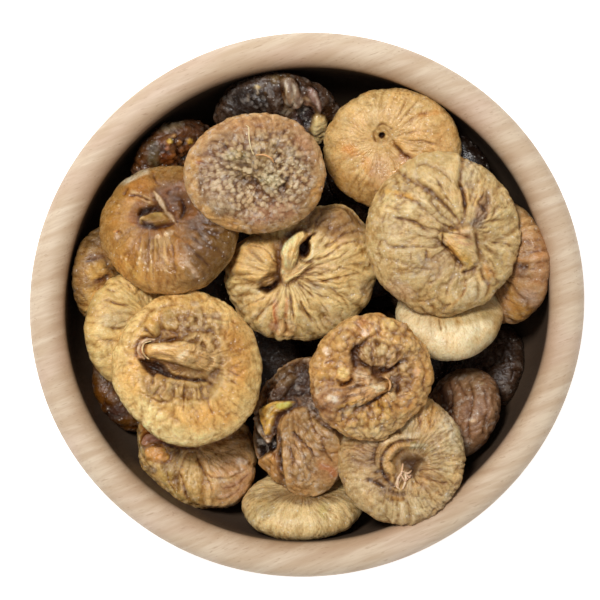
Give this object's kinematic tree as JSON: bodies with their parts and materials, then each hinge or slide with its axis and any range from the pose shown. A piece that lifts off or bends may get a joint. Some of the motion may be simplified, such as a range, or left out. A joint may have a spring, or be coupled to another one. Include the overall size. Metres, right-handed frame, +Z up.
{
  "type": "bowl of dried figs",
  "caption": "Turned pale wooden bowl with a rounded rim, heaped with flat pressed dried figs showing their necks, pleats and sugar bloom.",
  "frame": {"origin": "under the middle of the bowl's foot, on the surface that it stands on", "axes": "+Z up through the open side; +X to the right and +Y to the top of the picture, which looks straight down"},
  "size_m": [0.1694, 0.1662, 0.0779],
  "materials": {
    "beech": "bare sanded beech with fine straight grain and short flecks",
    "skin_pale": "matt straw-coloured dried skin, finely ribbed and creased",
    "skin_golden": "satin golden dried skin with pale bloom on its ribs",
    "skin_amber": "slightly glossy amber-brown dried skin with sugar specks",
    "skin_brown": "dusty brown dried skin under a granular grey bloom",
    "skin_dark": "dark purple-brown dried skin with pale bloom on its ridges"
  },
  "bodies": {
    "root": {"bowl": "beech", "fig_floor_1": "skin_amber", "fig_floor_2": "skin_amber", "fig_floor_3": "skin_amber", "fig_floor_4": "skin_amber", "fig_floor_5": "skin_amber", "fig_floor_6": "skin_amber", "fig_floor_7": "skin_amber", "fig_inner_1": "skin_amber", "fig_inner_2": "skin_amber", "fig_inner_3": "skin_amber", "fig_inner_4": "skin_amber", "fig_inner_5": "skin_amber", "fig_inner_6": "skin_amber", "fig_inner_7": "skin_amber", "fig_inner_8": "skin_amber", "fig_inner_9": "skin_amber", "fig_inner_10": "skin_amber", "fig_inner_11": "skin_amber", "fig_low_right": "skin_brown", "fig_low_left_front": "skin_amber", "fig_low_right_back": "skin_dark", "fig_standing_right": "skin_brown", "fig_low_left": "skin_amber", "fig_low_back": "skin_dark", "fig_low_back_left": "skin_dark", "fig_low_front": "skin_pale", "fig_leaning_left": "skin_pale", "fig_leaning_right": "skin_brown", "fig_middle_front": "skin_dark", "fig_middle_front_left": "skin_amber", "fig_middle_front_right": "skin_pale", "fig_middle_right": "skin_pale", "fig_middle_centre": "skin_pale", "fig_middle_back_right": "skin_golden", "fig_middle_left": "skin_amber", "fig_top_front": "skin_amber", "fig_top_left": "skin_golden", "fig_top_right": "skin_pale", "fig_top_back": "skin_brown"}
  },
  "joints": []
}
